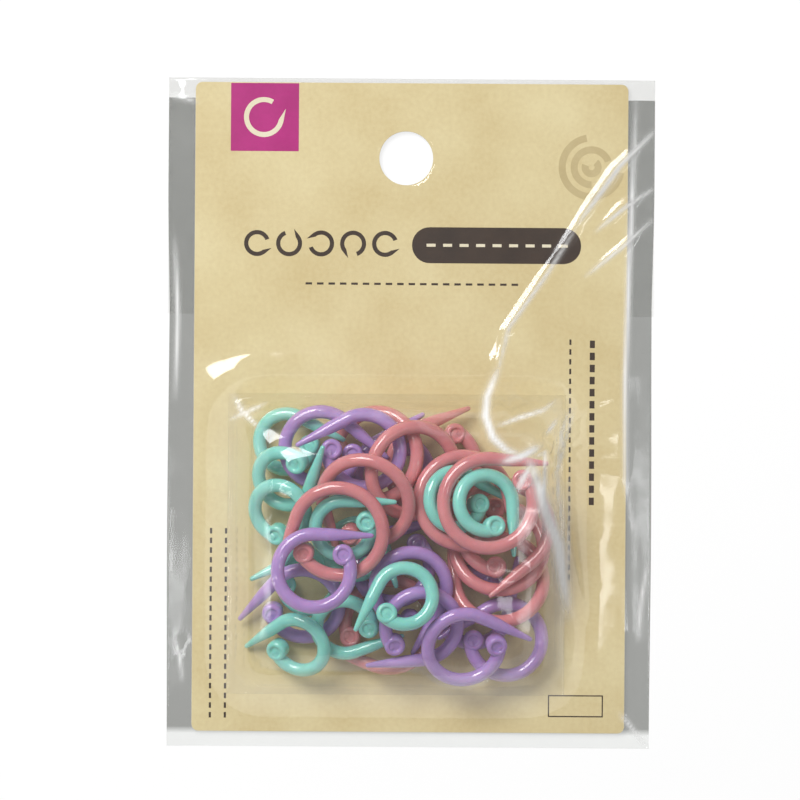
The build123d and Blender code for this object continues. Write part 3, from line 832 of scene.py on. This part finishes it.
def tops_of(pieces, columns, rows, ground):
    """The greatest height of these pieces over each point of the grid and the points round it."""
    heights = np.full((len(rows), len(columns)), ground)
    for made in pieces:
        points = np.empty(len(made.data.vertices) * 3)
        made.data.vertices.foreach_get("co", points)
        points = points.reshape(-1, 3)
        i = np.rint((points[:, 0] - columns[0]) / (columns[1] - columns[0])).astype(int)
        j = np.rint((points[:, 1] - rows[0]) / (rows[1] - rows[0])).astype(int)
        inside = (i >= 0) & (i < len(columns)) & (j >= 0) & (j < len(rows))
        np.maximum.at(heights, (j[inside], i[inside]), points[inside, 2])
    return spread(heights)


def spread(heights):
    """Each point takes the greatest height of itself and its eight neighbours."""
    padded = np.pad(heights, 1, mode="edge")
    high, wide = heights.shape
    return np.max([padded[j:j + high, i:i + wide] for i in range(3) for j in range(3)], axis=0)


def drape(form, under, flat, rounds):
    """The form, drawn tight over what is under it. The rim and the flat parts stay put."""
    heights = form.copy()
    free = ~flat
    free[[0, -1]] = free[:, [0, -1]] = False
    for _ in range(rounds):
        heights[free] = np.maximum(neighbour_mean(heights), under)[free]
    return heights


# %% Crinkles
def ridge(x, y, line, height, width, sharpness=1.4):
    """A crease along a line of points: highest on the line, fading to both its ends."""
    total = sum((b - a).length for a, b in zip(line, line[1:]))
    result = np.zeros_like(x)
    done = 0.0
    for a, b in zip(line, line[1:]):
        length = (b - a).length
        along = ((x - a.x) * (b.x - a.x) + (y - a.y) * (b.y - a.y)) / length ** 2
        near = np.clip(along, 0, 1)
        away = np.hypot(x - a.x - near * (b.x - a.x), y - a.y - near * (b.y - a.y))
        fade = np.sin(math.pi * np.clip((done + near * length) / total, 0.02, 0.98)) ** 0.6
        result = np.maximum(result, height * fade * np.exp(-((away / width) ** sharpness)))
        done += length
    return result


def ripples(x, y, seed, wavelength, direction, fan, count=7):
    """Waves of about one length that run about one way, from 0 to 1."""
    chance = np.random.default_rng(seed)
    total = np.zeros_like(x)
    for _ in range(count):
        turn = math.radians(direction + chance.uniform(-fan, fan))
        number = 2 * math.pi / (wavelength * chance.uniform(0.7, 1.5))
        total += np.sin(number * (x * math.cos(turn) + y * math.sin(turn)) + chance.uniform(0, 2 * math.pi))
    return 0.5 + total / count


def crumple(x, y, seed, wavelength):
    """Sharp-edged creases in all directions, from 0 to about 1."""
    waves = ripples(x, y, seed, wavelength, 0, 90, 9) - 0.5
    others = ripples(x, y, seed + 1, wavelength * 1.6, 0, 90, 9) - 0.5
    return (1 - np.minimum(np.abs(waves) * 3.2, 1)) * (0.4 + 0.6 * (1 - np.minimum(np.abs(others) * 2.5, 1)))


def pucker(x, y, centre, size, height, rays):
    """A gathered spot: short folds that run out from a centre."""
    away = np.hypot(x - centre.x, y - centre.y) / size
    turn = np.arctan2(y - centre.y, x - centre.x)
    fold_highlights = 0.5 + 0.5 * np.cos(rays * turn + 2 * np.sin(3 * turn))
    return height * fold_highlights * away * np.exp(1 - away)


# %% A film envelope from two grids
def envelope(name, columns, rows, front, back, finishes, mouth_row=None, hole=None):
    """A closed skin: a front and a back over one grid, joined at the rim and round a hole.

    The back takes the second finish, but over the mouth's row it takes the first.
    """
    across, up = len(columns), len(rows)
    x, y = np.meshgrid(columns, rows)
    layers = [np.stack((x, y, heights), axis=-1).reshape(-1, 3) for heights in (front, back)]
    points = np.concatenate(layers)
    size = across * up
    index = np.arange(size).reshape(up, across)
    a, b, c, d = index[:-1, :-1], index[:-1, 1:], index[1:, 1:], index[1:, :-1]
    kept = np.ones(a.shape, bool)
    if hole is not None:
        centre, radius = hole
        middle_x = (x[:-1, :-1] + x[1:, 1:]) / 2 - centre[0]
        middle_y = (y[:-1, :-1] + y[1:, 1:]) / 2 - centre[1]
        kept = np.hypot(middle_x, middle_y) > radius
    quads = np.stack((a, b, c, d), axis=-1)
    front_faces = quads[kept]
    back_faces = quads[kept][:, ::-1] + size
    walls, rim, edges = [], set(), {}
    for quad in front_faces.tolist():
        for first, second in zip(quad, quad[1:] + quad[:1]):
            if edges.pop((second, first), None) is None:
                edges[(first, second)] = True
    for first, second in edges:
        walls.append((second, first, first + size, second + size))
        if hole is not None:
            rim.update(k for k in (first, second) if math.hypot(points[k, 0] - centre[0],
                                                                points[k, 1] - centre[1]) < 2 * radius)
    for k in rim:
        away = points[k, :2] - centre
        place = np.array(centre) + away * (radius / np.linalg.norm(away))
        points[k, :2] = place
        points[k + size, :2] = place
    mesh = bpy.data.meshes.new(name)
    mesh.from_pydata(points.tolist(), [], front_faces.tolist() + back_faces.tolist() + walls)
    for finish in finishes:
        mesh.materials.append(finish)
    slots = np.zeros(len(mesh.polygons), np.int32)
    behind = slice(len(front_faces), len(front_faces) + len(back_faces))
    slots[behind] = 1
    if mouth_row is not None:
        heights = points[back_faces[:, 0], 1]
        slots[behind] = np.where(heights > mouth_row, 0, 1)
    mesh.polygons.foreach_set("material_index", slots)
    mesh.shade_smooth()
    return mesh


# %% [markdown]
# ## The pouch
#
# The inner pouch is a small pillow of stiff film, welded flat all round. Its front is draped over the
# markers, then crumpled, less near the welds. The welds show as fine lines.

# %% The pouch's film
pouch_low, pouch_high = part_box("pouch_front")
pouch_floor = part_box("pouch_back")[0].z
weld = 1.2 * mm
weld_lines = (0.3, 0.62, 0.94)
pouch_rounds = 160
columns, rows_up = grid_between(pouch_low, pouch_high)
x, y = np.meshgrid(columns, rows_up)
edge_distance = np.minimum(np.minimum(x - pouch_low.x, pouch_high.x - x),
                           np.minimum(y - pouch_low.y, pouch_high.y - y))
flange = pouch_floor + 0.16 * mm
form = cad_heights("pouch_front", columns, rows_up, flange)
form[edge_distance < weld] = flange
under = tops_of(markers, columns, rows_up, flange) + film_room
pouch_top = drape(form, under, edge_distance < weld, pouch_rounds)
inside = np.clip((edge_distance - weld) / (3 * mm), 0, 1)
pouch_top += inside * (0.13 * mm * crumple(x, y, 11, 9 * mm) + 0.06 * mm * ripples(x, y, 12, 5 * mm, 40, 60))
for share in weld_lines:
    pouch_top += 0.02 * mm * np.exp(-((edge_distance - share * weld) / (0.09 * mm)) ** 2)
pouch_back = np.full_like(pouch_top, pouch_floor)
pouch_mesh = envelope("pouch_skin", columns, rows_up, pouch_top, pouch_back, (pouch_film, pouch_film))
pouch_skin = piece("pouch_skin", pouch_mesh, "pouch", "clear_film")
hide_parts("pouch_front", "pouch_back")
print("pouch skin faces:", len(pouch_mesh.polygons), "top", round(pouch_top.max() / mm, 2), "mm")

# %% [markdown]
# ## The bag
#
# The bag's front lies over the card and the pouch. It is slack, so it comes down steeply beside the pouch
# and touches the card further out. Its long bright creases were read off the photograph, from the right
# edge down to the pouch, and so were the puckers over the pouch's corners. The film ripples along its side
# margins, and its side edges are drawn in slightly where it is pulled.

# %% Creases and puckers in the bag's front
# Each crease has its points in pixels, its height and its width in millimetres.
creases = {
    "upper_right": (((656, 124), (612, 168), (582, 212), (560, 250)), 0.55, 0.65),
    "middle_right": (((656, 182), (620, 204), (594, 232)), 0.42, 0.6),
    "lower_right": (((652, 212), (622, 244), (584, 276)), 0.40, 0.6),
    "over_pouch": (((575, 225), (545, 270), (505, 330), (492, 380), (512, 428), (540, 446)), 0.55, 0.65),
    "star_one": (((534, 474), (552, 452), (576, 428)), 0.6, 0.6),
    "star_two": (((557, 486), (560, 458), (562, 436)), 0.5, 0.6),
    "pouch_side": (((562, 510), (574, 565), (586, 622)), 0.6, 0.9),
    "corner_fan_one": (((548, 450), (585, 405), (610, 395)), 0.4, 0.6),
    "corner_fan_two": (((548, 450), (560, 410), (556, 370)), 0.35, 0.6),
    "pouch_left_corner": (((237, 400), (248, 420), (262, 428)), 0.3, 0.6),
    "left_streak": (((174, 240), (178, 320), (175, 400)), 0.14, 0.5),
    "left_lower": (((178, 636), (183, 660), (186, 690)), 0.14, 0.5),
    "right_margin_one": (((640, 96), (643, 200), (636, 320), (640, 470)), 0.08, 0.5),
    "top_left": (((167, 97), (195, 105)), 0.15, 0.5),
    "foot_right": (((618, 708), (650, 745)), 0.10, 0.5),
    "foot_long": (((230, 742), (420, 739), (610, 741)), 0.1, 0.5),
    "card_fold": (((300, 300), (360, 330), (380, 372)), 0.12, 0.9),
}

# Each pucker has its centre in pixels, its size and height in millimetres and its number of folds.
puckers = {
    "pouch_top_right": ((560, 453), 1.3, 0.42, 9),
    "pouch_top_left": ((250, 412), 1.1, 0.26, 8),
    "pouch_right": ((538, 410), 1.2, 0.20, 7),
}

# %% [markdown]
# A sharp fold shows as a thin bright line, because its rounded edge faces every way at once and catches a
# lamp from almost anywhere. No grid is fine enough for such an edge. So the lines are kept as a value on the
# mesh, fold_highlight, from 0 to 1, and the film's material turns white and matt where it is high: a painted
# highlight along each fold.

# %% Painted highlights along sharp folds
# Each fold has its points in pixels, the strength of its painted highlight and its width in millimetres. The
# strength is driven past 1 and cut off there, so that a strong fold is fully white along its middle.
fold_highlight_drive = 1.5
fold_highlights = {
    "upper_right": (((655, 127), (618, 165), (592, 202), (575, 225)), 0.9, 0.32),
    "middle_right": (((655, 185), (625, 205), (595, 230)), 0.7, 0.26),
    "lower_right": (((655, 215), (620, 247), (585, 275)), 0.65, 0.26),
    "to_the_pouch": (((578, 222), (545, 275), (508, 328), (496, 378)), 0.6, 0.28),
    "round_the_corner": (
        ((499, 366), (486, 396), (484, 415), (491, 436), (504, 448), (524, 456)), 0.95, 0.42),
    "star_left": (((500, 460), (520, 454), (538, 444)), 0.9, 0.45),
    "star_low": (((530, 461), (522, 474), (515, 488)), 0.8, 0.35),
    "star_right": (((531, 456), (543, 450), (543, 480), (540, 526)), 0.75, 0.26),
    "down_the_side": (((524, 452), (537, 484), (545, 512), (557, 541), (563, 579), (569, 612)), 1.0, 0.75),
    "edge_one": (((568, 408), (560, 430), (555, 468)), 0.5, 0.24),
    "edge_two": (((573, 408), (563, 441), (555, 470), (557, 493), (562, 528)), 0.55, 0.24),
    "edge_three": (((568, 472), (567, 500), (568, 550), (566, 600)), 0.35, 0.24),
    "pouch_top_one": (((495, 425), (516, 417), (542, 409), (553, 400)), 0.6, 0.24),
    "pouch_top_two": (((544, 433), (555, 418)), 0.6, 0.24),
    "left_corner_one": (((236, 398), (244, 412), (262, 428)), 0.6, 0.26),
    "left_corner_two": (((232, 420), (247, 414), (268, 404)), 0.45, 0.24),
    "right_margin": (((634, 100), (629, 240), (625, 380), (626, 480), (635, 530)), 0.75, 0.32),
    "right_low": (((650, 560), (644, 595), (640, 640)), 0.6, 0.3),
    "foot_right": (((622, 712), (650, 745)), 0.6, 0.3),
    "left_margin": (((173, 240), (176, 320), (174, 400)), 0.6, 0.3),
    "left_low": (((176, 640), (181, 660), (184, 682)), 0.5, 0.28),
    "top_left": (((168, 96), (182, 99), (195, 104)), 0.5, 0.28),
}

# %% The bag's film
bag_low, bag_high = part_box("bag_front")
back_low, back_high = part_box("bag_back")
fold_room = Vector((0, 0.05 * mm, 0))
card_room = 0.06 * mm
bag_rounds = 100
columns, rows_up = grid_between(bag_low, bag_high - fold_room)
x, y = np.meshgrid(columns, rows_up)
rest = back_high.z + card_room
form = cad_heights("bag_front", columns, rows_up, rest)
on_card = (abs(x) < card_high.x + 0.2 * mm) & (y > card_low.y - 0.2 * mm) & (y < card_high.y + 0.2 * mm)
under = np.where(on_card, card_high.z + card_room, rest)
over_pouch = tops_of([pouch_skin], columns, rows_up, 0.0) + film_room
bag_top = drape(form, np.maximum(under, over_pouch), np.zeros_like(on_card), bag_rounds)
seam = np.minimum(np.minimum(x - bag_low.x, bag_high.x - x), np.minimum(y - bag_low.y, bag_high.y - y))
loose = np.clip((seam - 0.6 * mm) / (2 * mm), 0, 1)
crinkle = 0.08 * mm * ripples(x, y, 3, 16 * mm, 60, 40) + 0.10 * mm * crumple(x, y, 5, 17 * mm)
crinkle += 0.04 * mm * ripples(x, y, 8, 6 * mm, 10, 50)
for line, height, width in creases.values():
    crinkle += ridge(x, y, [seen_at(*point) for point in line], height * mm, width * mm)
for spot, size, height, rays in puckers.values():
    crinkle += pucker(x, y, seen_at(*spot), size * mm, height * mm, rays)
in_margin = np.clip((abs(x) - card_high.x) / (0.8 * mm), 0, 1)
crinkle += in_margin * 0.08 * mm * (ripples(x, y, 21, 2.3 * mm, 0, 5) - 0.5)
bag_top += loose * crinkle
bag_back = np.full_like(bag_top, back_low.z + 0.02 * mm)
mouth = back_high.y
bag_mesh = envelope("bag_skin", columns, rows_up, bag_top, bag_back, (clear_film, back_film_painted_shade), mouth,
                    (hole_centre, hole_radius))
# The painted fold highlights are stored on the points of the bag's front. The points of its back get none.
fold_highlight_strength = np.zeros_like(x)
for line, strength, width in fold_highlights.values():
    sharp = ridge(x, y, [seen_at(*point) for point in line], strength, width * mm)
    fold_highlight_strength = np.maximum(fold_highlight_strength, np.minimum(fold_highlight_drive * sharp, 1))
fold_highlight = bag_mesh.attributes.new("fold_highlight", "FLOAT", "POINT")
fold_highlight.data.foreach_set("value", np.concatenate((fold_highlight_strength.ravel(), np.zeros(x.size))))

# %% Edges that draw in
pulls_in = 0.3 * mm


def draw_in(mesh):
    """Pulls the bag's side edges in towards the card, most below its upper third."""
    for vertex in mesh.vertices:
        side = abs(vertex.co.x) - (card_high.x + 0.5 * mm)
        if side > 0:
            down = np.clip((bag_high.y - 18 * mm - vertex.co.y) / (16 * mm), 0, 1)
            wave = 0.5 + 0.5 * math.sin(vertex.co.y / (11 * mm))
            share = side / (bag_high.x - card_high.x - 0.5 * mm)
            vertex.co.x -= math.copysign(pulls_in * share * down * (0.5 + 0.5 * wave), vertex.co.x)


draw_in(bag_mesh)
bag_skin = piece("bag_skin", bag_mesh, "bag", "clear_film")
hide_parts("bag_front", "bag_back")
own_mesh(bag_skin)
print("bag skin faces:", len(bag_mesh.polygons), "top", round(bag_top.max() / mm, 2), "mm")

# %% [markdown]
# ## The flap
#
# The flap and its strip of adhesive are flat, so their CAD meshes are right as they are. They only get
# their materials, in their own material slots.

# %% Flap materials
for node, material in (("bag_flap", flap_film), ("flap_adhesive", glue)):
    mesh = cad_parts[node].data
    mesh.materials.clear()
    mesh.materials.append(material)

# %% [markdown]
# ## Floor, light and camera
#
# The floor is plain and pale. To the camera, to mirrors and through glass it shows as nearly white, and it
# still takes a soft shadow. A large softbox gives the rings their broad soft lights, two narrow dim strips
# add thin ones along the creases and the margins, and the world fills in from all round. The camera looks
# straight down from far enough away that the heap hardly leans, turned by the fraction of a degree that the
# card is turned in the photograph.

# %% Floor
def make_floor():
    material = new_material("pale_floor")
    tree = material.node_tree
    path = put(tree, "ShaderNodeLightPath").outputs
    seen = calculate(tree, "MAXIMUM", path["Is Camera Ray"], calculate(
        tree, "MAXIMUM", path["Is Glossy Ray"], path["Is Transmission Ray"]))
    matt = put(tree, "ShaderNodeBsdfDiffuse", {"Color": (0.86, 0.86, 0.86, 1.0)}).outputs[0]
    glow = put(tree, "ShaderNodeEmission", {"Color": (1.0, 1.0, 1.0, 1.0), "Strength": 1.1}).outputs[0]
    mix = put(tree, "ShaderNodeMixShader", {0: calculate(tree, "MULTIPLY", seen, 0.72), 1: matt, 2: glow})
    put(tree, "ShaderNodeOutputMaterial", {"Surface": mix.outputs[0]})
    mesh = bpy.data.meshes.new("floor")
    reach, level = 2.0, -0.05 * mm
    corners = ((-reach, -reach), (reach, -reach), (reach, reach), (-reach, reach))
    mesh.from_pydata([(*corner, level) for corner in corners], [], [(0, 1, 2, 3)])
    mesh.materials.append(material)
    floor = bpy.data.objects.new("floor", mesh)
    bpy.context.scene.collection.objects.link(floor)


make_floor()


# %% World and lamps
def make_world():
    world = bpy.data.worlds.new("studio")
    bpy.context.scene.world = world
    world.use_nodes = True
    tree = world.node_tree
    tree.nodes.clear()
    path = put(tree, "ShaderNodeLightPath").outputs
    fill = put(tree, "ShaderNodeBackground", {"Color": (1.0, 1.0, 1.0, 1.0), "Strength": 0.30}).outputs[0]
    white = put(tree, "ShaderNodeBackground", {"Color": (1.0, 1.0, 1.0, 1.0), "Strength": 1.0}).outputs[0]
    mix = put(tree, "ShaderNodeMixShader", {0: path["Is Camera Ray"], 1: fill, 2: white})
    put(tree, "ShaderNodeOutputWorld", {"Surface": mix.outputs[0]})


def softbox(name, place, width, length, power):
    """A rectangular lamp that faces the middle of the pack."""
    lamp = bpy.data.lights.new(name, "AREA")
    lamp.shape = "RECTANGLE"
    lamp.size, lamp.size_y, lamp.energy = width, length, power
    holder = bpy.data.objects.new(name, lamp)
    holder.location = place
    holder.rotation_euler = (-Vector(place)).to_track_quat("-Z", "Y").to_euler()
    bpy.context.scene.collection.objects.link(holder)


make_world()
softbox("key_softbox", (-0.27, 0.33, 0.50), 0.31, 0.31, 3.35)
softbox("strip_right", (0.32, -0.04, 0.46), 0.026, 0.30, 0.12)
softbox("strip_left", (-0.34, -0.06, 0.44), 0.022, 0.26, 0.10)

# %% Camera
camera_height = 0.60
sensor = 36.0
camera = bpy.data.objects.new("camera", bpy.data.cameras.new("camera"))
bpy.context.scene.collection.objects.link(camera)
aim = seen_at(*photo_centre)
camera.data.sensor_width = sensor
camera.data.lens = sensor * (camera_height - card_high.z) / (photo_width * pixel)
camera.location = (aim.x, aim.y, camera_height)
camera.rotation_euler = (0, 0, math.radians(0.4))
bpy.context.scene.camera = camera
bpy.context.scene.view_settings.view_transform = "Standard"
